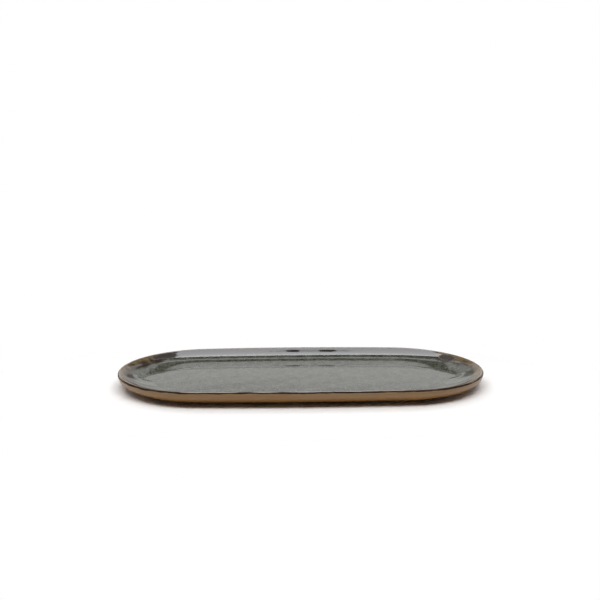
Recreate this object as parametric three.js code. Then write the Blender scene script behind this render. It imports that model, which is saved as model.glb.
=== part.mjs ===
// A long oval serving plate in glazed stoneware.
//
// One pressed clay body carries five fired coats: a thick grey-green glaze in the well, a brown glaze where
// the well breaks over the rim, a dark iron line on the outer shoulder of the lip, a tan glaze on the
// outside, and the same tan glaze in the recess under the base. The foot ring and a narrow band on each side
// of it are bare clay.
//
// Frame: millimetres, +X along the plate, +Y across it, +Z up. The origin is the centre of the foot's plane.
// A profile point is (inset, height): inset is measured inwards from the plate's outline, height from the
// foot.
import * as THREE from "three";

// Overall size, over the glaze
const plateLength = 330;
const plateWidth = 160;
const plateHeight = 15;
const sideSwell = 2.3; // half the width less the end radius, which bows the long sides

// Clay body
const lipRadius = 1.1; // of the bare clay lip
const lipInnerSlope = 46; // degrees below the horizontal where the inner wall leaves the lip
const coveSlope = 7; // degrees above the horizontal where the inner wall leaves the floor
const floorThickness = 3.1;
const coveRun = 31.5; // from the outline in to where the floor is flat
const footInset = 19; // from the outline in to the foot ring
const footWidth = 6;
const footHeight = 2.7; // on the ring's outer side
const footDraft = 0.4; // how far each side of the ring leans over its height
const footEase = 0.5; // rounding of the ring's lower edges
const baseRecess = 1; // from the foot's plane up to the glaze inside the ring

// Coats of glaze
const wellGlaze = 0.7;
const rimGlaze = 0.5;
const lineGlaze = 0.4;
const outerGlaze = 0.4;
const baseGlaze = 0.3;
const rimBand = 8.6; // how far the brown glaze comes down the inner wall
const lineRise = 5; // degrees up the lip, from its outer side, to where the iron line starts
const lineReach = 51; // degrees of the lip that the iron line covers
const bareBand = 1.5; // clay left bare beside the foot ring

// Fullness of the walls: the reach of each curve's handles, as a share of the way to where its end tangents
// cross
const innerWallFullness = 0.85;
const coveFullness = 0.7;
const outerWallFullness = 0.55;
const bellyFullness = 0.5;

// Facets: even numbers round the outline, so that each arc has a corner at its middle
const endSteps = 22;
const sideSteps = 6;
const lipOuterSteps = 2;
const lipInnerSteps = 2;
const lineSteps = 3;
const easeSteps = 3;
const rimSteps = 3;
const wellSteps = 8;
const outerSteps = 9;

const radians = THREE.MathUtils.degToRad;
const point = (inset, height) => new THREE.Vector2(inset, height);

// Plan outline: four arcs that meet at a common tangent, so every inset of it is four arcs round the same
// centres. Each entry has a place on the outline and the outward normal there.
function planOutline() {
  const halfLength = plateLength / 2;
  const halfWidth = plateWidth / 2;
  const endRadius = halfWidth - sideSwell;
  const endCentre = halfLength - endRadius;
  const sideRadius = (endCentre ** 2 / sideSwell + endRadius + halfWidth) / 2;
  const sideCentre = sideRadius - halfWidth;
  const turn = Math.atan2(sideCentre, endCentre);
  const end = { radius: endRadius, steps: endSteps };
  const side = { radius: sideRadius, steps: sideSteps };
  const arcs = [
    { ...end, x: endCentre, y: 0, from: -turn, to: turn },
    { ...side, x: 0, y: -sideCentre, from: turn, to: Math.PI - turn },
    { ...end, x: -endCentre, y: 0, from: Math.PI - turn, to: Math.PI + turn },
    { ...side, x: 0, y: sideCentre, from: Math.PI + turn, to: 2 * Math.PI - turn },
  ];
  return arcs.flatMap((arc) =>
    Array.from({ length: arc.steps }, (_, step) => {
      const angle = arc.from + ((arc.to - arc.from) * step) / arc.steps;
      const normal = new THREE.Vector2(Math.cos(angle), Math.sin(angle));
      const place = new THREE.Vector2(arc.x, arc.y).addScaledVector(normal, arc.radius);
      return { place, normal };
    }),
  );
}

const outline = planOutline();
const insetOutline = (inset) =>
  outline.map(({ place, normal }) => place.clone().addScaledVector(normal, -inset));

// Sweeps a profile round the outline. A capped profile starts at a flat underside and ends at a flat top; any
// other closes on itself. The diagonal of each facet follows from its two profile points alone, so that two
// solids which share a face share its triangles.
function sweep(profile, capped) {
  const count = outline.length;
  const rings = profile.map(({ x, y }) => insetOutline(x).map((place) => [place.x, place.y, y]));
  const index = [];
  const strips = capped ? profile.length - 1 : profile.length;
  for (let i = 0; i < strips; i += 1) {
    const j = (i + 1) % profile.length;
    const low = profile[i];
    const high = profile[j];
    const lowLeads = low.x < high.x || (low.x === high.x && low.y < high.y);
    for (let k = 0; k < count; k += 1) {
      const next = (k + 1) % count;
      const [a, b, c, d] = [i * count + k, i * count + next, j * count + next, j * count + k];
      index.push(...(lowLeads ? [a, b, c, a, c, d] : [a, b, d, b, c, d]));
    }
  }
  if (capped) {
    const last = profile.length - 1;
    for (const [a, b, c] of THREE.ShapeUtils.triangulateShape(insetOutline(profile[0].x), [])) {
      index.push(c, b, a);
    }
    for (const [a, b, c] of THREE.ShapeUtils.triangulateShape(insetOutline(profile[last].x), [])) {
      index.push(last * count + a, last * count + b, last * count + c);
    }
  }
  const geometry = new THREE.BufferGeometry();
  geometry.setAttribute("position", new THREE.Float32BufferAttribute(rings.flat(2), 3));
  geometry.setIndex(index);
  geometry.computeVertexNormals();
  return geometry;
}

// Clay profile, in the order that it runs: base, foot ring, outer wall, lip, inner wall, floor
const undersideHeight = baseRecess + baseGlaze;
const floorHeight = undersideHeight + floorThickness;
const footInner = footInset + footWidth;
const lipCentre = point(Math.max(outerGlaze, lineGlaze) + lipRadius, plateHeight - rimGlaze - lipRadius);

const baseEdge = point(footInner + footDraft + bareBand, undersideHeight);
const footTop = point(footInset - footDraft, footHeight);
const ring = new THREE.Path()
  .moveTo(footInner + footDraft, undersideHeight)
  .lineTo(footInner, footEase)
  .quadraticCurveTo(footInner, 0, footInner - footEase, 0)
  .lineTo(footInset + footEase, 0)
  .quadraticCurveTo(footInset, 0, footInset, footEase)
  .lineTo(footTop.x, footTop.y);

const lipArc = new THREE.EllipseCurve(
  lipCentre.x,
  lipCentre.y,
  lipRadius,
  lipRadius,
  Math.PI,
  Math.PI / 2 - radians(lipInnerSlope),
  true,
);
const lipOuter = lipArc.getPoint(0);
const lipInner = lipArc.getPoint(1);

const outerWall = new THREE.CubicBezierCurve(
  footTop,
  point(THREE.MathUtils.lerp(footTop.x, lipOuter.x, bellyFullness), footTop.y),
  point(lipOuter.x, THREE.MathUtils.lerp(lipOuter.y, footTop.y, outerWallFullness)),
  lipOuter,
);

const floorEdge = point(coveRun, floorHeight);
const lipTangent = Math.tan(radians(lipInnerSlope));
const coveTangent = Math.tan(radians(coveSlope));
const coveRise = (floorEdge.x - lipInner.x) * coveTangent;
const wallRun = (lipInner.y - floorEdge.y - coveRise) / (lipTangent - coveTangent);
const wallFoot = point(lipInner.x + wallRun, lipInner.y - wallRun * lipTangent);
const innerWall = new THREE.CubicBezierCurve(
  lipInner,
  lipInner.clone().lerp(wallFoot, innerWallFullness),
  floorEdge.clone().lerp(wallFoot, coveFullness),
  floorEdge,
);

// Points that follow the start of a stretch of a curve, evenly spaced by length
function along(curve, from, to, steps) {
  const stride = (to - from) / steps;
  return Array.from({ length: steps }, (_, step) => curve.getPointAt(from + stride * (step + 1)));
}

// The clay grows stretch by stretch, from one place where a coat gives way to the next
const clay = [baseEdge];
function extend(points) {
  const first = clay.length - 1;
  clay.push(...points);
  return { first, last: clay.length - 1 };
}

const outerLength = outerWall.getLength();
const glazeStop = bareBand / outerLength;
const lipTurn = 90 + lipInnerSlope;
const lineShare = lineRise / lipTurn;
const rimShare = (lineRise + lineReach) / lipTurn;
const topShare = 90 / lipTurn;
const wellShare = rimBand / innerWall.getLength();

extend([...ring.getPoints(easeSteps), ...along(outerWall, 0, glazeStop, 1)]);
const outerStretch = extend([
  ...along(outerWall, glazeStop, 1, outerSteps),
  ...along(lipArc, 0, lineShare, 1),
]);
const lineStretch = extend(along(lipArc, lineShare, rimShare, lineSteps));
const rimStretch = extend([
  ...along(lipArc, rimShare, topShare, lipOuterSteps),
  ...along(lipArc, topShare, 1, lipInnerSteps),
  ...along(innerWall, 0, wellShare, rimSteps),
]);
const wellStretch = extend(along(innerWall, wellShare, 1, wellSteps));

// Outward normal of the clay at one of its points; the last one is on the flat floor
function clayNormal(place) {
  if (place === clay.length - 1) return point(0, 1);
  const run = clay[place + 1].clone().sub(clay[place - 1]).normalize();
  return point(-run.y, run.x);
}

// Profile of a coat of even thickness: back along the clay, then along the glaze's own face
function coat({ first, last }, thickness) {
  const under = clay.slice(first, last + 1);
  const face = under.map((at, step) => at.clone().addScaledVector(clayNormal(first + step), thickness));
  return [...under.toReversed(), ...face];
}

function piece(name, geometry, look) {
  const mesh = new THREE.Mesh(geometry, new THREE.MeshStandardMaterial({ metalness: 0, ...look }));
  mesh.name = name;
  return mesh;
}

const tan = { color: 0x896a45, roughness: 0.45 };

const plate = new THREE.Group();
plate.name = "oval_plate";
plate.add(
  piece("stoneware_body", sweep(clay, true), { color: 0x8e7359, roughness: 0.85 }),
  piece("well_glaze", sweep(coat(wellStretch, wellGlaze), true), { color: 0x55564b, roughness: 0.12 }),
  piece("rim_glaze", sweep(coat(rimStretch, rimGlaze), false), { color: 0x5e4c36, roughness: 0.15 }),
  piece("lip_line", sweep(coat(lineStretch, lineGlaze), false), { color: 0x2b1d13, roughness: 0.3 }),
  piece("outer_glaze", sweep(coat(outerStretch, outerGlaze), false), tan),
  piece("base_glaze", sweep([point(baseEdge.x, baseRecess), baseEdge], true), tan),
);

export default plate;
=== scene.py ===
"""Looks of a long oval plate in glazed stoneware, dressed over its solids.

Lengths are millimetres in the plate's own frame until a mesh is made, and metres from there on.
"""

import math

import bpy
import numpy as np
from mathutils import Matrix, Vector


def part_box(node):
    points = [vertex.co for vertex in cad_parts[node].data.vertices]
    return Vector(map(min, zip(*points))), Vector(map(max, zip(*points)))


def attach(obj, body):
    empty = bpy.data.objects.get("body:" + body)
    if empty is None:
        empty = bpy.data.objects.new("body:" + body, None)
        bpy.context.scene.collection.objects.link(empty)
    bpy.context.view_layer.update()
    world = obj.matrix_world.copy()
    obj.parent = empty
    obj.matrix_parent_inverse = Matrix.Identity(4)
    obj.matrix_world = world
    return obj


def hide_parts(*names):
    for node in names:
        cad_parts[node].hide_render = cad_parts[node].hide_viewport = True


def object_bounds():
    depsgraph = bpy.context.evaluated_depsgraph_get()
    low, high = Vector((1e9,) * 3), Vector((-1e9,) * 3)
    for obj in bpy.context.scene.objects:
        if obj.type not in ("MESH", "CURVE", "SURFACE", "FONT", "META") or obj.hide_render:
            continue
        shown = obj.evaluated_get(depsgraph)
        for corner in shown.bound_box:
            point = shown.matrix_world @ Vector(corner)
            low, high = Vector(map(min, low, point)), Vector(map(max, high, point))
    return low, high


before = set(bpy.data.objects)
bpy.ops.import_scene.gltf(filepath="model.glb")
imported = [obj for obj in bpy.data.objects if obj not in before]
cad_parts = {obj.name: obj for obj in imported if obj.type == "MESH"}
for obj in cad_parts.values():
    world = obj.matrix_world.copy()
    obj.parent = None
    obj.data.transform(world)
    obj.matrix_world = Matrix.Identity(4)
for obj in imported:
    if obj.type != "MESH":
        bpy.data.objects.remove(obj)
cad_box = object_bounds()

MM = 0.001
SEED = 11
random = np.random.default_rng(SEED)

# Sizes read off the frame
plate_length, plate_width, plate_height = ((high - low) / MM for low, high in zip(*cad_box))
clay_low, clay_high = (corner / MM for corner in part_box("stoneware_body"))
base_low, base_high = (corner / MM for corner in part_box("base_glaze"))
well_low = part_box("well_glaze")[0] / MM
base_edge = (plate_length - (base_high.x - base_low.x)) / 2  # inset of the coat in the base's recess

# Clay
SIDE_SWELL = 2.3  # half the width less the end radius
LIP_RADIUS = 1.1
COVE_RUN = 31.5
# Inner wall: slope under the lip, slope at the floor, run, and the fullness of its upper and lower curve
SIDE_WALL = (math.radians(46), math.radians(7), COVE_RUN, 0.85, 0.7)
END_WALL = (math.radians(33.4), math.radians(26), 19.8, 0.19, 0.59)  # steeper at the back of the ends
END_GATHER = 2.75  # power of the outward normal's part along the plate, which keeps that to the ends
BACK_BLEND = 0.15  # part of that normal across the plate, over which it fades in towards the back
FOOT_INSET = 19
FOOT_WIDTH = 6
FOOT_HEIGHT = 2.7
FOOT_DRAFT = 0.4
FOOT_EASE = 0.5
OUTER_WALL_FULLNESS = 0.55
BELLY_FULLNESS = 0.50

# Glaze
WELL_GLAZE = 0.7
RIM_GLAZE = 0.5
OUTER_GLAZE = 0.4
GLAZE_BLEND = 3  # half the stretch over which one thickness runs into the next
GLAZE_BEAD = 1.2  # rounded edge of a coat that stops on bare clay
RIM_BAND = 9.5  # from the crest of the lip down to the border of the brown glaze, along the clay
LINE_TOP = -0.65  # along the clay from the crest, outwards below zero
LINE_BOTTOM = -1.62
BARE_BAND = 1.5

# Hand-made unevenness
KILN_WARP = 0.5  # rise of the rim's middle and drop of its ends
WOBBLE = 0.04
WOBBLE_WAVELENGTHS = (260, 190, 140, 95)
GLAZE_WAVE = 0.02  # as a share of the glaze's thickness
GLAZE_WAVE_SCALE = 2.7  # how much shorter the glaze's waves are than the wobble's
# Wander of each coat's border: its size and its spacing
TAN_WANDER = (0.25, 18)
LINE_BOTTOM_WANDER = (0.12, 14)
LINE_BOTTOM_FRAY = (0.05, 4)
LINE_TOP_WANDER = (0.10, 20)
LINE_TOP_FRAY = (0.04, 5)
RIM_WANDER = (0.5, 30)
BASE_WANDER = (0.3, 18)

# Facets
END_STEPS = 168
SIDE_STEPS = 84
EASE_POINTS = 8  # in the section, round each lower edge of the foot ring
OUTER_WALL_POINTS = 160
LIP_OUTER_POINTS = 50
LIP_INNER_POINTS = 30
INNER_WALL_POINTS = 240
SECTION_STEP = 0.05  # spacing of the points along the section once it is evened out
CREASE = 0.15  # half the width of the rounding where the wall meets the floor
FLOOR_LAST_INSET = 76.6  # the last ring is a narrow slot along the plate's middle
SLOT_MARGIN = 0.2  # by which the rows stop short of the section's end
SHARP_ANGLE = math.radians(50)

# Rows of each piece
CLAY_ROWS = (70, 40, 40, 8)  # base and foot ring, outer wall, inner wall, floor
WELL_WALL_ROWS = 56
WELL_FLOOR_ROWS = 26
WELL_UNDER_ROWS = (6, 20)  # floor, wall
RIM_ROWS = (44, 14)  # face, underside
LINE_ROWS = (8, 4)
OUTER_ROWS = (56, 24)
BASE_BEAD_ROWS = 6
BASE_FLAT_ROWS = 12


# Section and outline


def smooth(value, low, high):
    """0 below low, 1 above high, and an even rise between them."""
    share = np.clip((value - low) / (high - low), 0, 1)
    return share * share * (3 - 2 * share)


def bezier(points, count):
    """Points along a Bezier curve."""
    t = np.linspace(0, 1, count)[:, None]
    degree = len(points) - 1
    curve = 0
    for i, point in enumerate(points):
        curve = curve + math.comb(degree, i) * (1 - t) ** (degree - i) * t**i * np.array(point)
    return curve


def plan_outline():
    """Places on the plate's outline and the outward normals there: four arcs that meet in a tangent."""
    half_length, half_width = plate_length / 2, plate_width / 2
    end_radius = half_width - SIDE_SWELL
    end_centre = half_length - end_radius
    side_radius = (end_centre**2 / SIDE_SWELL + end_radius + half_width) / 2
    side_centre = side_radius - half_width
    turn = math.atan2(side_centre, end_centre)
    arcs = (
        ((end_centre, 0), end_radius, -turn, turn, END_STEPS),
        ((0, -side_centre), side_radius, turn, math.pi - turn, SIDE_STEPS),
        ((-end_centre, 0), end_radius, math.pi - turn, math.pi + turn, END_STEPS),
        ((0, side_centre), side_radius, math.pi + turn, 2 * math.pi - turn, SIDE_STEPS),
    )
    places, normals = [], []
    for centre, radius, start, stop, steps in arcs:
        angle = np.linspace(start, stop, steps, endpoint=False)
        normal = np.stack([np.cos(angle), np.sin(angle)], 1)
        places.append(np.array(centre) + radius * normal)
        normals.append(normal)
    return np.concatenate(places), np.concatenate(normals)


outline, outward = plan_outline()
columns = len(outline)
strides = np.linalg.norm(np.roll(outline, -1, 0) - outline, axis=1)
perimeter = strides.sum()
around = 2 * math.pi * (np.cumsum(strides) - strides) / perimeter
# How much of the steeper wall each column has: none along the sides and the front, all at the ends' back
endwards = np.abs(outward[:, 0]) ** END_GATHER * smooth(outward[:, 1], -BACK_BLEND, BACK_BLEND)


def wander(size, spacing):
    """A smooth random wander round the outline, about size high, that closes on itself."""
    turns = np.arange(1, int(perimeter / spacing) + 1)
    weights = random.normal(0, size / math.sqrt(len(turns) / 2), len(turns))
    phases = random.uniform(0, 2 * math.pi, len(turns))
    return (weights[:, None] * np.cos(turns[:, None] * around + phases[:, None])).sum(0)


def foot_profile():
    """The clay from the base's recess round the foot ring, in three stretches."""
    inner = FOOT_INSET + FOOT_WIDTH
    return (
        [(base_edge, base_high.z), (inner + FOOT_DRAFT, base_high.z)],
        bezier([(inner, FOOT_EASE), (inner, 0), (inner - FOOT_EASE, 0)], EASE_POINTS),
        bezier([(FOOT_INSET + FOOT_EASE, 0), (FOOT_INSET, 0), (FOOT_INSET, FOOT_EASE)], EASE_POINTS),
    )


def outer_wall(lip_outer):
    """The outer wall from the foot ring up to the lip."""
    foot_top = np.array([FOOT_INSET - FOOT_DRAFT, FOOT_HEIGHT])
    belly = foot_top + BELLY_FULLNESS * np.array([lip_outer[0] - foot_top[0], 0])
    shoulder = lip_outer + OUTER_WALL_FULLNESS * np.array([0, foot_top[1] - lip_outer[1]])
    return bezier([foot_top, belly, shoulder, lip_outer], OUTER_WALL_POINTS)


def lip_arc(lip_outer, lip_slope):
    """The rounded lip, from its outer side over the crest to where the inner wall leaves it."""
    crest = math.pi / 2
    outer = np.linspace(math.pi, crest, LIP_OUTER_POINTS)
    inner = np.linspace(crest, crest - lip_slope, LIP_INNER_POINTS)[1:]
    angle = np.concatenate([outer, inner])
    return lip_outer + (LIP_RADIUS, 0) + LIP_RADIUS * np.stack([np.cos(angle), np.sin(angle)], 1)


def crossing(place, slope, other, other_slope):
    """Where two straight lines cross, each given by a place on it and its rise."""
    run = (other[1] - place[1] - (other[0] - place[0]) * other_slope) / (slope - other_slope)
    return place + run * np.array([1, slope])


def inner_wall(top, lip_slope, cove_slope, cove_run, wall_fullness, cove_fullness):
    """The inner wall from the lip down to the floor's edge."""
    bottom = np.array([cove_run, well_low.z])
    corner = crossing(top, -math.tan(lip_slope), bottom, -math.tan(cove_slope))
    upper = top + wall_fullness * (corner - top)
    lower = bottom + cove_fullness * (corner - bottom)
    return bezier([top, upper, lower, bottom], INNER_WALL_POINTS)


def clay_section(lip_slope, *wall):
    """Points along the clay's section, as (inset, height), from the base's recess to the floor."""
    lip_outer = np.array([(plate_length - (clay_high.x - clay_low.x)) / 2, clay_high.z - LIP_RADIUS])
    lip = lip_arc(lip_outer, lip_slope)
    return np.concatenate(
        [
            *foot_profile(),
            outer_wall(lip_outer),
            lip[1:],
            inner_wall(lip[-1], lip_slope, *wall)[1:],
            [(FLOOR_LAST_INSET, well_low.z)],
        ]
    )


class Section:
    """The clay's section by distance along it: zero at the crest of the lip, above zero inwards.

    The distance is the long sides' one. The ends have the same points in other places.
    """

    def __init__(self, side, end):
        length = np.concatenate([[0], np.cumsum(np.linalg.norm(np.diff(side, axis=0), axis=1))])
        self.reach = np.arange(0, length[-1], SECTION_STEP)
        self.points, self.normals = self.sample(side, length)
        self.end_points, self.end_normals = self.sample(end, length)
        self.reach -= self.reach[self.points[:, 1].argmax()]

    def sample(self, points, length):
        """Points at even steps, and the outward normals there."""
        even = np.stack([np.interp(self.reach, length, points[:, i]) for i in (0, 1)], 1)
        run = np.gradient(even, axis=0)
        run /= np.linalg.norm(run, axis=1)[:, None]
        return even, np.stack([-run[:, 1], run[:, 0]], 1)

    def inset_reach(self, inset):
        """How far along the inner side an inset lies."""
        inner = self.reach > 0
        return np.interp(inset, self.points[inner, 0], self.reach[inner])

    def foot_reach(self):
        """Where the outer wall meets the foot ring."""
        outer = (self.reach < 0) & (self.points[:, 1] >= FOOT_HEIGHT)
        return self.reach[outer].min()

    def place(self, reach, thickness):
        """Points in space over the clay: a row for each row of reach, a column for each place round it."""
        side = [np.interp(reach, self.reach, values) for values in (*self.points.T, *self.normals.T)]
        end = [np.interp(reach, self.reach, values) for values in (*self.end_points.T, *self.end_normals.T)]
        inset, height, in_normal, up_normal = (s + endwards * (e - s) for s, e in zip(side, end))
        inset = inset + in_normal * thickness
        height = height + up_normal * thickness
        flat = outline - inset[..., None] * outward
        return warp(np.concatenate([flat, height[..., None]], -1))


WAVES = [
    (random.normal(0, 2 * math.pi / wavelength, 3), random.uniform(0, 2 * math.pi))
    for wavelength in WOBBLE_WAVELENGTHS
]


def ripple(points):
    """A slow random swell through space, between about -1 and 1."""
    return sum(np.sin(points @ wave + phase) for wave, phase in WAVES) / math.sqrt(len(WAVES))


def warp(points):
    """What firing does to the shape: the rim's middle rises, its ends sink, and it wobbles a little."""
    lift = points[..., 2] / plate_height
    moved = points.copy()
    moved[..., 2] += lift * KILN_WARP * (1 - 2 * (points[..., 0] / (plate_length / 2)) ** 2)
    moved[..., 2] += lift * WOBBLE * ripple(points)
    return moved


section = Section(clay_section(*SIDE_WALL), clay_section(*END_WALL))
floor_reach = section.inset_reach(COVE_RUN)
last_reach = section.inset_reach(FLOOR_LAST_INSET - SLOT_MARGIN)
foot_reach = section.foot_reach()

# Borders of the coats along the clay, one place for each column
tan_stop = foot_reach + BARE_BAND + wander(*TAN_WANDER)
line_bottom = LINE_BOTTOM + wander(*LINE_BOTTOM_WANDER) + wander(*LINE_BOTTOM_FRAY)
line_top = LINE_TOP + wander(*LINE_TOP_WANDER) + wander(*LINE_TOP_FRAY)
rim_stop = RIM_BAND + wander(*RIM_WANDER)


def thickness(reach):
    """How thick the glaze lies at each place along the clay."""
    inside = smooth(reach, RIM_BAND - GLAZE_BLEND, RIM_BAND + GLAZE_BLEND)
    outside = smooth(-reach, 0, GLAZE_BLEND)
    deep = RIM_GLAZE + inside * (WELL_GLAZE - RIM_GLAZE) + outside * (OUTER_GLAZE - RIM_GLAZE)
    bead = np.clip((reach - tan_stop) / GLAZE_BEAD, 0, 1)
    return deep * np.sqrt(1 - (1 - bead) ** 2)


# Meshes


def spread(start, stop, steps):
    """Rows of reach from one border to the next."""
    share = np.linspace(0, 1, steps + 1)[:, None]
    return start + (stop - start) * share * np.ones(columns)


def glaze_rows(reach):
    """The glaze's own face, with the slow unevenness of a coat that ran in the kiln."""
    bare = section.place(reach, 0)
    return section.place(reach, thickness(reach) * (1 + GLAZE_WAVE * ripple(GLAZE_WAVE_SCALE * bare)))


def strip_faces(row, next_row):
    """Faces between two rows, all the way round."""
    k = np.arange(columns)
    k_next = (k + 1) % columns
    here = row * columns
    there = next_row * columns
    return np.stack([here + k, here + k_next, there + k_next, there + k], 1)


def slot_faces(row, upwards):
    """Closes the narrow slot that a row leaves along the plate's middle, from one tip to the other."""
    tip = END_STEPS // 2
    faces = []
    for k in range(tip, tip + columns // 2):
        far = [(END_STEPS - i) % columns for i in (k, k + 1)]
        face = list(dict.fromkeys([k % columns, (k + 1) % columns, far[1], far[0]]))
        faces.append([row * columns + i for i in (face if upwards else face[::-1])])
    return faces


def make_mesh(name, rows, reaches, closed):
    """A mesh from rows of points round the plate, with each point's place kept for the material."""
    count = len(rows)
    faces = []
    for row in range(count if closed else count - 1):
        faces.extend(strip_faces(row, (row + 1) % count).tolist())
    if not closed:
        faces.extend(slot_faces(0, False))
        faces.extend(slot_faces(count - 1, True))
    mesh = bpy.data.meshes.new(name)
    mesh.from_pydata((rows.reshape(-1, 3) * MM).tolist(), [], faces)
    along_clay = mesh.attributes.new("reach", "FLOAT", "POINT")
    along_clay.data.foreach_set("value", reaches.ravel().astype(np.float32))
    places = np.zeros((count, columns, 3), np.float32)
    places[..., :2] = outline
    on_outline = mesh.attributes.new("column", "FLOAT_VECTOR", "POINT")
    on_outline.data.foreach_set("vector", places.ravel())
    mesh.shade_smooth()
    mesh.set_sharp_from_angle(angle=SHARP_ANGLE)
    return mesh


def make_piece(name, rows, reaches, closed, material, node, slot):
    """A piece that stands for a node. Its rows close on themselves, or end in a slot below and above."""
    mesh = make_mesh(name, rows, reaches, closed)
    mesh.materials.append(material)
    piece = bpy.data.objects.new(name, mesh)
    bpy.context.scene.collection.objects.link(piece)
    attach(piece, "root")
    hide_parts(node)


def make_body():
    """The clay, whose first row narrows the base to the same slot as the floor."""
    borders = (section.reach[0], foot_reach, 0, floor_reach, last_reach)
    stretches = [spread(*each) for each in zip(borders, borders[1:], CLAY_ROWS)]
    reach = np.concatenate([stretches[0], *(rows[1:] for rows in stretches[1:])])
    rows = section.place(reach, 0)
    slot = np.full((1, columns), last_reach)
    inner = section.place(slot, 0)
    inner[..., 2] = rows[0, :, 2].mean()
    return np.concatenate([inner, rows]), np.concatenate([slot, reach])


def make_ring(start, stop, steps, under_steps):
    """A coat that runs round the plate between two borders: back along the clay, then along its own face."""
    under = spread(stop, start, under_steps)
    face = spread(start, stop, steps)
    return np.concatenate([section.place(under, 0), glaze_rows(face)]), np.concatenate([under, face])


def make_well():
    """The coat over the floor and the lower wall: back along the clay, then along its own face."""
    floor_steps, wall_steps = WELL_UNDER_ROWS
    under_floor = spread(last_reach, floor_reach, floor_steps)
    under_wall = spread(floor_reach, rim_stop, wall_steps)[1:]
    under = np.concatenate([under_floor, under_wall])
    wall = spread(rim_stop, floor_reach - CREASE, WELL_WALL_ROWS)
    crease = spread(floor_reach, floor_reach + CREASE, 1)
    floor = spread(floor_reach + CREASE, last_reach, WELL_FLOOR_ROWS)[1:]
    face = np.concatenate([wall, crease, floor])
    return np.concatenate([section.place(under, 0), glaze_rows(face)]), np.concatenate([under, face])


def make_base():
    """The coat inside the foot ring: a flat skin with a rounded, wandering edge. Its reach is its inset."""
    edge = base_edge + np.abs(wander(*BASE_WANDER))
    depth = base_high.z - base_low.z
    inset, height = [], []
    for inward in np.linspace(0, 1, BASE_BEAD_ROWS + 1):
        inset.append(edge + GLAZE_BEAD * inward)
        height.append(base_high.z - depth * math.sqrt(1 - (1 - inward) ** 2))
    bead_stop = inset[-1]
    for inward in np.linspace(0, 1, BASE_FLAT_ROWS + 1)[1:]:
        inset.append(bead_stop + (FLOOR_LAST_INSET - bead_stop) * inward)
        height.append(base_low.z)
    inset = [*inset[::-1], np.full(columns, FLOOR_LAST_INSET)]
    height = [*height[::-1], base_high.z]
    rows = []
    for inward, level in zip(inset, height):
        flat = outline - inward[:, None] * outward
        rows.append(np.concatenate([flat, np.full((columns, 1), level)], 1))
    return np.array(rows), np.array(inset)


# Materials

WHITE = (1, 1, 1)

# Colours, linear
OLIVE_DEEP = (0.036, 0.037, 0.026)
OLIVE_MID = (0.102, 0.104, 0.082)
GREY_FLECK = (0.205, 0.212, 0.190)
BROWN_DARK = (0.042, 0.030, 0.022)
BROWN_OCHRE = (0.190, 0.138, 0.078)
# Paler where the glaze thins over the lip's crest, with a painted highlight there
CREST_HIGHLIGHT = (0.195, 0.145, 0.110)
# Broken glaze, darkened further to paint dark reflections, and a tint that dims the reflection there
BREAK_AND_DARK_REFLECTION = (0.014, 0.009, 0.007)
PAINTED_DARK_REFLECTION_TINT = (0.08, 0.07, 0.07)
IRON = (0.022, 0.010, 0.005)
IRON_THIN = (0.060, 0.038, 0.025)
TAN = (0.268, 0.146, 0.050)
TAN_PALE = (0.300, 0.178, 0.074)
TAN_DARK = (0.175, 0.092, 0.033)
TAN_LOW = (0.250, 0.114, 0.024)
CLAY = (0.300, 0.200, 0.125)
CLAY_DARK = (0.190, 0.120, 0.070)

# Noises: scale for each millimetre, detail, roughness
MOTTLE = (0.16, 4.0, 0.6)
SPECKLE = (0.85, 2.0, 0.6)
DARK_GRAIN = (2.6, 1.0, 0.5)
STREAK = (0.10, 4.0, 0.65)
DRIFT = (0.035, 1.0, 0.5)
ORANGE_PEEL = (0.45, 1.0, 0.5)
LINE_WEAR = (0.06, 3.0, 0.6)
LINE_GRAIN = (1.6, 2.0, 0.5)
TAN_PATCHES = (0.03, 3.0, 0.6)
TAN_LINES = (1.0, 3.0, 0.6)
TAN_GRAIN = (2.2, 3.0, 0.7)
TAN_SPECKS = (0.9, 1.0, 0.5)
GROG = (1.4, 4.0, 0.7)
CLAY_PATCHES = (0.05, 2.0, 0.5)
STREAK_STRETCH = 0.25  # streaks run four times as far down the wall as along it
LINE_STRETCH = (0.02, 0.02, 1.3)  # the tan glaze's faint lines run along the wall

# Rises: the values between which something rises, then its bottom and top where they aren't 0 and 1
OLIVE_RISE = (0.3, 0.7)
FLECK_RISE = (0.52, 0.75)
DARK_GRAIN_RISE = (0.58, 0.74, 0.0, 0.6)
GLOSS_RISE = (0.35, 0.7, 0.04, 0.09)  # roughness by the speckle
BROWN_RISE = (11.0, 6.5)  # by the place down the wall
ENDS_LOWER = (118.0, 145.0, 0.0, 3.0)  # drop of the brown's border, by the place along the plate
LEFT_LOWER = (-128.0, -145.0, 0.0, 2.5)  # its further drop at the left end
ENDS_OCHRE = (126.0, 146.0, -0.14, 0.36)  # by the place along the plate
OCHRE_RISE = (0.42, 0.78)
OCHRE_FADE = -0.035  # for each millimetre down the wall
CREST_HIGHLIGHT_RISE = (1.5, 0.3, 0.0, 0.6)  # by the distance from the crest, where a highlight is painted
BREAK_AND_REFLECTION_RISE = (1.25, 0.75)  # across the edge of a break and its painted dark reflection, as a share of its half-widths
BACK_RISE = (0.0, 1.0)  # by the place across the plate: breaks and their painted dark reflections lie in its back half
WORN_RISE = (0.45, 0.70)
PALE_RISE = (0.3, 0.7)
LINES_RISE = (0.45, 0.75, 0.0, 0.5)
TAN_GRAIN_RISE = (0.5, 0.8, 0.0, 0.45)
SPECKS_RISE = (0.70, 0.76, 0.0, 0.7)
LOW_RISE = (-4.5, -8.5, 0.0, 0.8)  # down the outer wall, as are the next two
NEAR_LINE_RISE = (-6.0, -2.0, 0.0, 0.40)
OUTSIDE_RISE = (0.0, -1.0)
GROG_RISE = (0.4, 0.75)
CLAY_PATCHES_RISE = (0.35, 0.7, 0.0, 0.4)

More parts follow.
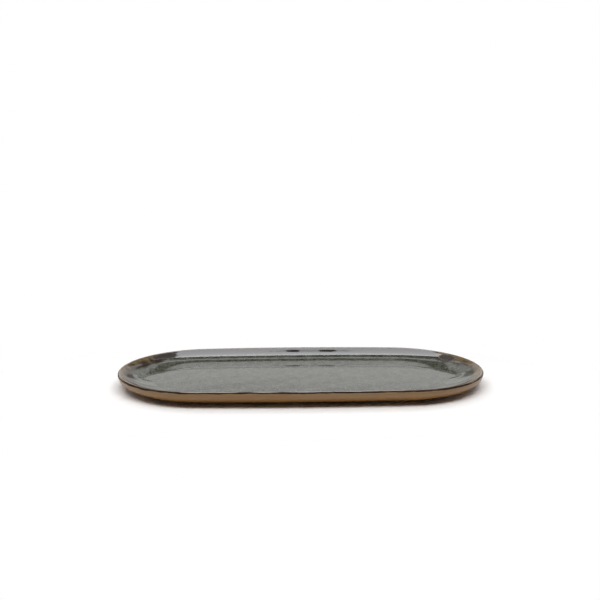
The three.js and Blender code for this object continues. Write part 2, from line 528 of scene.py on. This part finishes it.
# How far a noise moves what it frays
STREAK_SHIFT = 5.0  # the brown's border, in millimetres
DRIFT_SHIFT = 6.0  # the same border, more slowly
BREAK_AND_REFLECTION_SHIFT = 1.2  # the edge of a break and its painted dark reflection, as a share of its half-widths
WEAR_SHIFT = 0.5  # the wear of the iron line

# Relief, in metres
ORANGE_PEEL_DEPTH = 0.000003
SPECKLE_DEPTH = 0.0000015
LINE_DEPTH = 0.00003
TAN_LINES_DEPTH = 0.00005
TAN_GRAIN_DEPTH = 0.00003
GROG_DEPTH = 0.00008

# Gloss
GLAZE_IOR = 1.5
CLAY_IOR = 1.45
BREAK_ROUGHNESS = 0.6
IRON_ROUGHNESS = 0.45
IRON_SHEEN = 0.1
TAN_ROUGHNESS = 0.32
CLAY_ROUGHNESS = 0.9

# Breaks in the glaze inside the lip at the back, whose dark colour and dimmed sheen also paint dark
# reflections: middle and half the length along the plate, middle and half the width down the wall, and how
# bare and dark it is
BREAKS_AND_DARK_REFLECTIONS = (
    ((-5.5, 7.5), (4.25, 1.4), 1.0),
    ((29.0, 8.5), (4.25, 1.4), 1.0),
    ((14.0, 42.0), (4.25, 1.4), 0.3),
    ((-131.5, 12.5), (5.2, 3.6), 0.85),
    ((146.2, 7.0), (7.0, 4.4), 0.85),
)


class Shader:
    """A node tree with one call for each kind of node: values are set on sockets, sockets are linked."""

    def __init__(self, owner):
        owner.use_nodes = True
        self.owner = owner
        self.tree = owner.node_tree
        self.tree.nodes.clear()

    def add(self, kind, settings=(), **inputs):
        """A node with its settings, and its inputs by name, or by number as i0, i1 and so on."""
        made = self.tree.nodes.new(kind)
        for key, value in dict(settings).items():
            setattr(made, key, value)
        for key, value in inputs.items():
            numbered = key[0] == "i" and key[1:].isdigit()
            self.put(made.inputs[int(key[1:]) if numbered else key], value)
        return made

    def put(self, socket, value):
        if isinstance(value, bpy.types.NodeSocket):
            self.tree.links.new(value, socket)
        elif isinstance(value, tuple) and len(value) == 3 and socket.type == "RGBA":
            socket.default_value = (*value, 1)
        else:
            socket.default_value = value

    def reach(self):
        """How far along the clay a point lies from the crest of the lip."""
        return self.add("ShaderNodeAttribute", {"attribute_name": "reach"}).outputs["Fac"]

    def column(self):
        """The place on the outline that a point belongs to."""
        return self.add("ShaderNodeAttribute", {"attribute_name": "column"}).outputs["Vector"]

    def place(self):
        """Where a point lies on the plate, in millimetres."""
        return self.scaled(self.add("ShaderNodeTexCoord").outputs["Object"], (1 / MM,) * 3)

    def math(self, operation, a, b=0.0):
        return self.add("ShaderNodeMath", {"operation": operation}, i0=a, i1=b).outputs[0]

    def scaled(self, vector, factor):
        return self.add("ShaderNodeVectorMath", {"operation": "MULTIPLY"}, i0=vector, i1=factor).outputs[0]

    def length(self, vector):
        return self.add("ShaderNodeVectorMath", {"operation": "LENGTH"}, i0=vector).outputs["Value"]

    def noise(self, vector, scale, detail, roughness):
        inputs = {"Vector": vector, "Scale": scale, "Detail": detail, "Roughness": roughness}
        return self.add("ShaderNodeTexNoise", {}, **inputs).outputs[0]

    def rise(self, value, low, high, bottom=0.0, top=1.0):
        """Maps low to high smoothly onto bottom to top."""
        settings = {"interpolation_type": "SMOOTHSTEP"}
        made = self.add("ShaderNodeMapRange", settings, i0=value, i1=low, i2=high, i3=bottom, i4=top)
        return made.outputs[0]

    def sway(self, value, noise, size):
        """Moves a value to either side by a noise."""
        aside = self.math("SUBTRACT", noise, 0.5)
        return self.math("ADD", value, self.math("MULTIPLY", aside, size))

    def mix(self, share, a, b):
        return self.add("ShaderNodeMix", {"data_type": "RGBA"}, Factor=share, i6=a, i7=b).outputs[2]

    def bump(self, height, depth, **under):
        """Relief from a height, laid over another relief where that is given as Normal."""
        inputs = {"Height": height, "Distance": depth, "Strength": 1.0, **under}
        return self.add("ShaderNodeBump", {}, **inputs).outputs["Normal"]

    def finish(self, **inputs):
        """Ends a material with its surface, whose inputs are named with _ for a space."""
        surface = self.add("ShaderNodeBsdfPrincipled")
        for key, value in inputs.items():
            self.put(surface.inputs[key.replace("_", " ")], value)
        self.add("ShaderNodeOutputMaterial", {}, Surface=surface.outputs["BSDF"])
        return self.owner


def new_shader(name):
    return Shader(bpy.data.materials.new(name))


def well_colour(shader, mottle, speckle, place):
    """Grey-green: a slow mottle, pale flecks and dark grains."""
    grain = shader.noise(place, *DARK_GRAIN)
    colour = shader.mix(shader.rise(mottle, *OLIVE_RISE), OLIVE_DEEP, OLIVE_MID)
    colour = shader.mix(shader.rise(speckle, *FLECK_RISE), colour, GREY_FLECK)
    return shader.mix(shader.rise(grain, *DARK_GRAIN_RISE), colour, OLIVE_DEEP)


def rim_share(shader, reach, along, streak, drift):
    """How brown the glaze is: all of it at the rim, down to a border that wanders and drops at the ends."""
    edge = shader.sway(reach, streak, STREAK_SHIFT)
    edge = shader.sway(edge, drift, DRIFT_SHIFT)
    edge = shader.math("SUBTRACT", edge, shader.rise(shader.math("ABSOLUTE", along), *ENDS_LOWER))
    edge = shader.math("SUBTRACT", edge, shader.rise(along, *LEFT_LOWER))
    return shader.rise(edge, *BROWN_RISE)


def rim_colour(shader, reach, along, streak):
    """Dark brown, and streaked with ochre where it thins: high on the wall and at the ends."""
    ends = shader.rise(shader.math("ABSOLUTE", along), *ENDS_OCHRE)
    thin = shader.math("ADD", streak, ends)
    thin = shader.math("ADD", thin, shader.math("MULTIPLY", reach, OCHRE_FADE))
    return shader.mix(shader.rise(thin, *OCHRE_RISE), BROWN_DARK, BROWN_OCHRE)


def break_and_dark_reflection_share(shader, reach, along, across, mottle):
    """Where the glaze breaks and leaves the wall dark and matt, and where dark reflections are painted in
    the same spots.
    """
    bare = 0.0
    for (middle, half_length), (down_wall, half_width), depth in BREAKS_AND_DARK_REFLECTIONS:
        aside = shader.math("DIVIDE", shader.math("SUBTRACT", along, middle), half_length)
        deep = shader.math("DIVIDE", shader.math("SUBTRACT", reach, down_wall), half_width)
        oval = shader.add("ShaderNodeCombineXYZ", {}, X=aside, Y=deep).outputs[0]
        gap = shader.sway(shader.length(oval), mottle, BREAK_AND_REFLECTION_SHIFT)
        bare = shader.math("MAXIMUM", bare, shader.rise(gap, *BREAK_AND_REFLECTION_RISE, 0.0, depth))
    return shader.math("MULTIPLY", bare, shader.rise(across, *BACK_RISE))


def reactive_glaze(name):
    """Grey-green in the well, running into brown and ochre streaks where it thins over the rim."""
    shader = new_shader(name)
    place = shader.place()
    reach = shader.reach()
    column = shader.column()
    split = shader.add("ShaderNodeSeparateXYZ", {}, i0=column)
    along, across = split.outputs["X"], split.outputs["Y"]
    down = shader.math("MULTIPLY", reach, STREAK_STRETCH)
    down = shader.add("ShaderNodeCombineXYZ", {}, Z=down).outputs[0]
    run = shader.add("ShaderNodeVectorMath", {"operation": "ADD"}, i0=column, i1=down).outputs[0]
    mottle = shader.noise(place, *MOTTLE)
    speckle = shader.noise(place, *SPECKLE)
    streak = shader.noise(run, *STREAK)
    drift = shader.noise(column, *DRIFT)

    colour = shader.mix(
        rim_share(shader, reach, along, streak, drift),
        well_colour(shader, mottle, speckle, place),
        rim_colour(shader, reach, along, streak),
    )
    # Painted highlight along the lip's crest, over glaze that thins there
    colour = shader.mix(shader.rise(shader.math("ABSOLUTE", reach), *CREST_HIGHLIGHT_RISE), colour, CREST_HIGHLIGHT)
    # Breaks in the glaze, whose dark colour and dimmed reflection also paint dark reflections of things over
    # the plate
    bare = break_and_dark_reflection_share(shader, reach, along, across, mottle)
    orange_peel = shader.bump(shader.noise(place, *ORANGE_PEEL), ORANGE_PEEL_DEPTH)
    gloss = shader.rise(speckle, *GLOSS_RISE)
    return shader.finish(
        Base_Color=shader.mix(bare, colour, BREAK_AND_DARK_REFLECTION),
        Roughness=shader.math("ADD", gloss, shader.math("MULTIPLY", bare, BREAK_ROUGHNESS)),
        IOR=GLAZE_IOR,
        # Painted dark reflection: the reflection is dimmed over the breaks
        Specular_Tint=shader.mix(bare, WHITE, PAINTED_DARK_REFLECTION_TINT),
        Normal=shader.bump(speckle, SPECKLE_DEPTH, Normal=orange_peel),
    )


def iron_line():
    """The dark line on the lip's shoulder, worn thin here and there."""
    shader = new_shader("iron_line")
    worn = shader.noise(shader.column(), *LINE_WEAR)
    grain = shader.noise(shader.place(), *LINE_GRAIN)
    thin = shader.sway(worn, grain, WEAR_SHIFT)
    return shader.finish(
        Base_Color=shader.mix(shader.rise(thin, *WORN_RISE), IRON, IRON_THIN),
        Roughness=IRON_ROUGHNESS,
        IOR=GLAZE_IOR,
        Specular_IOR_Level=IRON_SHEEN,
        Normal=shader.bump(grain, LINE_DEPTH),
    )


def tan_glaze():
    """Satin tan glaze outside: fine grain, faint lines along the wall and a few darker specks."""
    shader = new_shader("tan_glaze")
    place = shader.place()
    reach = shader.reach()
    patches = shader.noise(place, *TAN_PATCHES)
    lines = shader.noise(shader.scaled(place, LINE_STRETCH), *TAN_LINES)
    grain = shader.noise(place, *TAN_GRAIN)
    specks = shader.noise(place, *TAN_SPECKS)
    colour = shader.mix(shader.rise(patches, *PALE_RISE), TAN, TAN_PALE)
    colour = shader.mix(shader.rise(lines, *LINES_RISE), colour, TAN_DARK)
    colour = shader.mix(shader.rise(grain, *TAN_GRAIN_RISE), colour, TAN_DARK)
    colour = shader.mix(shader.rise(specks, *SPECKS_RISE), colour, CLAY_DARK)
    colour = shader.mix(shader.rise(reach, *LOW_RISE), colour, TAN_LOW)
    outside = shader.rise(reach, *OUTSIDE_RISE)
    near_line = shader.math("MULTIPLY", shader.rise(reach, *NEAR_LINE_RISE), outside)
    colour = shader.mix(near_line, colour, TAN_DARK)
    relief = shader.bump(grain, TAN_GRAIN_DEPTH, Normal=shader.bump(lines, TAN_LINES_DEPTH))
    return shader.finish(Base_Color=colour, Roughness=TAN_ROUGHNESS, IOR=GLAZE_IOR, Normal=relief)


def bare_clay():
    """Fired stoneware without glaze: matt and sandy, with grog of several sizes."""
    shader = new_shader("bare_clay")
    place = shader.place()
    grog = shader.noise(place, *GROG)
    patches = shader.noise(place, *CLAY_PATCHES)
    colour = shader.mix(shader.rise(grog, *GROG_RISE), CLAY, CLAY_DARK)
    colour = shader.mix(shader.rise(patches, *CLAY_PATCHES_RISE), colour, TAN)
    relief = shader.bump(grog, GROG_DEPTH)
    return shader.finish(Base_Color=colour, Roughness=CLAY_ROUGHNESS, IOR=CLAY_IOR, Normal=relief)


# Pieces

clay = bare_clay()
well = reactive_glaze("well_glaze")
rim = reactive_glaze("rim_glaze")
iron = iron_line()
tan = tan_glaze()
rim_ring = make_ring(line_top, rim_stop, *RIM_ROWS)
line_ring = make_ring(line_bottom, line_top, *LINE_ROWS)
outer_ring = make_ring(tan_stop, line_bottom, *OUTER_ROWS)
make_piece("bare_stoneware", *make_body(), False, clay, "stoneware_body", "clay")
make_piece("well_coat", *make_well(), False, well, "well_glaze", "well_glaze")
make_piece("rim_coat", *rim_ring, True, rim, "rim_glaze", "rim_glaze")
make_piece("iron_lip_line", *line_ring, True, iron, "lip_line", "iron_line")
make_piece("outer_coat", *outer_ring, True, tan, "outer_glaze", "tan_glaze")
make_piece("base_coat", *make_base(), False, tan, "base_glaze", "tan_glaze")

# Stage, in metres

FLOOR_SIZE = 30
FLOOR_WHITE = 1.0  # what the camera sees of the light on the floor
FLOOR_BOUNCE = 0.9  # what the floor gives back to the plate
SHADOW_HALF_LENGTH = 0.20  # the floor round the plate keeps its shadow, and is plain white farther out
SHADOW_HALF_WIDTH = 0.105
SHADOW_RISE = (1.0, 1.5)  # where it turns white, as a share of that oval

# The studio as the glaze mirrors it: cards by degrees to either side of their axis, by elevation, and by
# level
CARDS = (
    ((-5, 185), (-5, 10), 0.65),
    ((-5, 25), (10, 16.3), 0.86),
    ((-5, 185), (10, 19), 0.62),
    ((-5, 185), (19, 27), 0.30),
    ((7.5, 13.2), (37.5, 41.8), 1.10),
    ((10.3, 13.2), (34.3, 39.5), 1.10),
    ((8, 16), (19, 28.5), 0.80),
    ((11, 14.5), (27, 35.5), 0.85),
    ((70, 185), (19, 60), 0.30),
)
# Level bars behind the plate, by degrees to either side, by the tilt up to them straight across the plate,
# and by level
BARS = (
    ((-5, 9), (27, 35.5), 1.05),
    ((-5, 9.5), (43, 48), 1.5),
)
CARD_AXIS = 0.9  # degrees from the back to the middle of the cards
BAR_AXIS = 2.1  # degrees from the back to the middle of the bars
CARD_EDGE = 1.0  # half the degrees over which a card's edge fades
FILL = 0.03  # what the studio's walls give the plate by themselves
BACKDROP = 1.0  # what the lit backdrop behind the plate gives it
BACKDROP_RISE = (-0.2, 0.6)  # between them, by how far backwards a direction points

# Lamps: place, size, radiance
SOFTBOX = ((-0.04, 0.225, 1.0), (0.61, 1.05), 6.45)
SOFTBOX_TINT = (0.93, 0.96, 1.0)
SOFTBOX_TURN = math.radians(-4)
KEY = ((-0.04, -0.50, 1.0), (1.30, 0.60), 4.85)
TOP = ((-0.05, 0.22, 1.0), (0.90, 1.04), 1.0)

# Camera: where it stands, in degrees and millimetres from the middle of the rim, and which way it looks
CAMERA_AZIMUTH = -2.0856
CAMERA_ELEVATION = 14.7467
CAMERA_DISTANCE = 916.3
LOOK_AZIMUTH = -2.0164
LOOK_ELEVATION = 10.829
CAMERA_LENS = 60.378
SENSOR_WIDTH = 36
RIM_HEIGHT = 14.2


def white_floor():
    """Keeps the plate's shadow close by, and is plain white to the camera farther out."""
    shader = new_shader("white_floor")
    camera = shader.add("ShaderNodeLightPath").outputs["Is Camera Ray"]
    place = shader.add("ShaderNodeTexCoord").outputs["Object"]
    oval = shader.scaled(place, (1 / SHADOW_HALF_LENGTH, 1 / SHADOW_HALF_WIDTH, 0))
    far = shader.math("MULTIPLY", shader.rise(shader.length(oval), *SHADOW_RISE), camera)
    tint = shader.mix(camera, (FLOOR_BOUNCE,) * 3, (FLOOR_WHITE,) * 3)
    near_floor = shader.add("ShaderNodeBsdfDiffuse", {}, Color=tint).outputs[0]
    far_floor = shader.add("ShaderNodeEmission", {}, Color=WHITE, Strength=1.0).outputs[0]
    both = shader.add("ShaderNodeMixShader", {}, i0=far, i1=near_floor, i2=far_floor)
    shader.add("ShaderNodeOutputMaterial", {}, Surface=both.outputs[0])
    return shader.owner


def make_floor():
    half = FLOOR_SIZE / 2
    corners = [(-half, -half, 0), (half, -half, 0), (half, half, 0), (-half, half, 0)]
    mesh = bpy.data.meshes.new("floor")
    mesh.from_pydata(corners, [], [(0, 1, 2, 3)])
    mesh.materials.append(white_floor())
    floor = bpy.data.objects.new("floor", mesh)
    bpy.context.scene.collection.objects.link(floor)


def within(sky, value, low, high):
    """1 between two bounds and 0 outside them, with soft edges."""
    opens = sky.rise(value, low - CARD_EDGE, low + CARD_EDGE)
    closes = sky.rise(value, high + CARD_EDGE, high - CARD_EDGE)
    return sky.math("MULTIPLY", opens, closes)


def studio_level(sky, direction, camera):
    """How bright the studio is in each direction: white to the camera, cards and bars to what mirrors it."""
    x, y, z = (direction.outputs[axis] for axis in "XYZ")
    turn = sky.math("DEGREES", sky.math("ARCTAN2", x, y))
    elevation = sky.math("DEGREES", sky.math("ARCSINE", z))
    tilt = sky.math("DEGREES", sky.math("ARCTAN2", z, sky.math("ABSOLUTE", y)))
    level = camera
    for panels, axis, upwards in ((CARDS, CARD_AXIS, elevation), (BARS, BAR_AXIS, tilt)):
        aside = sky.math("ABSOLUTE", sky.math("SUBTRACT", turn, axis))
        for sides, heights, brightness in panels:
            shape = sky.math("MULTIPLY", within(sky, aside, *sides), within(sky, upwards, *heights))
            level = sky.math("MAXIMUM", level, sky.math("MULTIPLY", shape, brightness))
    return level


def make_world():
    """The studio as the camera and the glaze see it, and a plain fill for all other light."""
    world = bpy.data.worlds.new("studio")
    bpy.context.scene.world = world
    sky = Shader(world)
    direction = sky.add("ShaderNodeTexCoord").outputs["Generated"]
    direction = sky.add("ShaderNodeSeparateXYZ", {}, i0=direction)
    path = sky.add("ShaderNodeLightPath")
    camera = path.outputs["Is Camera Ray"]
    mirrored = camera
    for ray in ("Is Glossy Ray", "Is Transmission Ray"):
        mirrored = sky.math("MAXIMUM", mirrored, path.outputs[ray])
    level = studio_level(sky, direction, camera)
    behind = sky.rise(direction.outputs["Y"], *BACKDROP_RISE, FILL, BACKDROP)
    cards = sky.add("ShaderNodeBackground", {}, Color=WHITE, Strength=level).outputs[0]
    fill = sky.add("ShaderNodeBackground", {}, Color=WHITE, Strength=behind).outputs[0]
    both = sky.add("ShaderNodeMixShader", {}, i0=mirrored, i1=fill, i2=cards)
    sky.add("ShaderNodeOutputWorld", {}, Surface=both.outputs[0])


def make_lamp(name, place, size, radiance):
    """A rectangular lamp over the plate that shines straight down."""
    lamp = bpy.data.lights.new(name, "AREA")
    lamp.shape = "RECTANGLE"
    lamp.size, lamp.size_y = size
    lamp.energy = radiance * math.pi * size[0] * size[1]
    light = bpy.data.objects.new(name, lamp)
    light.location = place
    bpy.context.scene.collection.objects.link(light)
    return light


def make_lamps():
    """One softbox that only mirrors in the glaze, and two lamps that only light the plate."""
    softbox = make_lamp("softbox", *SOFTBOX)
    softbox.data.color = SOFTBOX_TINT
    softbox.rotation_euler.z = SOFTBOX_TURN
    softbox.visible_diffuse = False
    make_lamp("key", *KEY).visible_glossy = False
    make_lamp("top", *TOP).visible_glossy = False


def away(azimuth, elevation):
    """The direction from the plate to a place that sees it from an azimuth and an elevation, in degrees."""
    a, e = math.radians(azimuth), math.radians(elevation)
    return Vector((math.sin(a) * math.cos(e), -math.cos(a) * math.cos(e), math.sin(e)))


def make_camera():
    lens = bpy.data.cameras.new("camera")
    lens.sensor_width = SENSOR_WIDTH
    lens.lens = CAMERA_LENS
    camera = bpy.data.objects.new("camera", lens)
    place = Vector((0, 0, RIM_HEIGHT)) + CAMERA_DISTANCE * away(CAMERA_AZIMUTH, CAMERA_ELEVATION)
    camera.location = place * MM
    camera.rotation_mode = "QUATERNION"
    camera.rotation_quaternion = (-away(LOOK_AZIMUTH, LOOK_ELEVATION)).to_track_quat("-Z", "Y")
    bpy.context.scene.collection.objects.link(camera)
    bpy.context.scene.camera = camera


make_floor()
make_world()
make_lamps()
make_camera()
bpy.context.scene.view_settings.view_transform = "Standard"
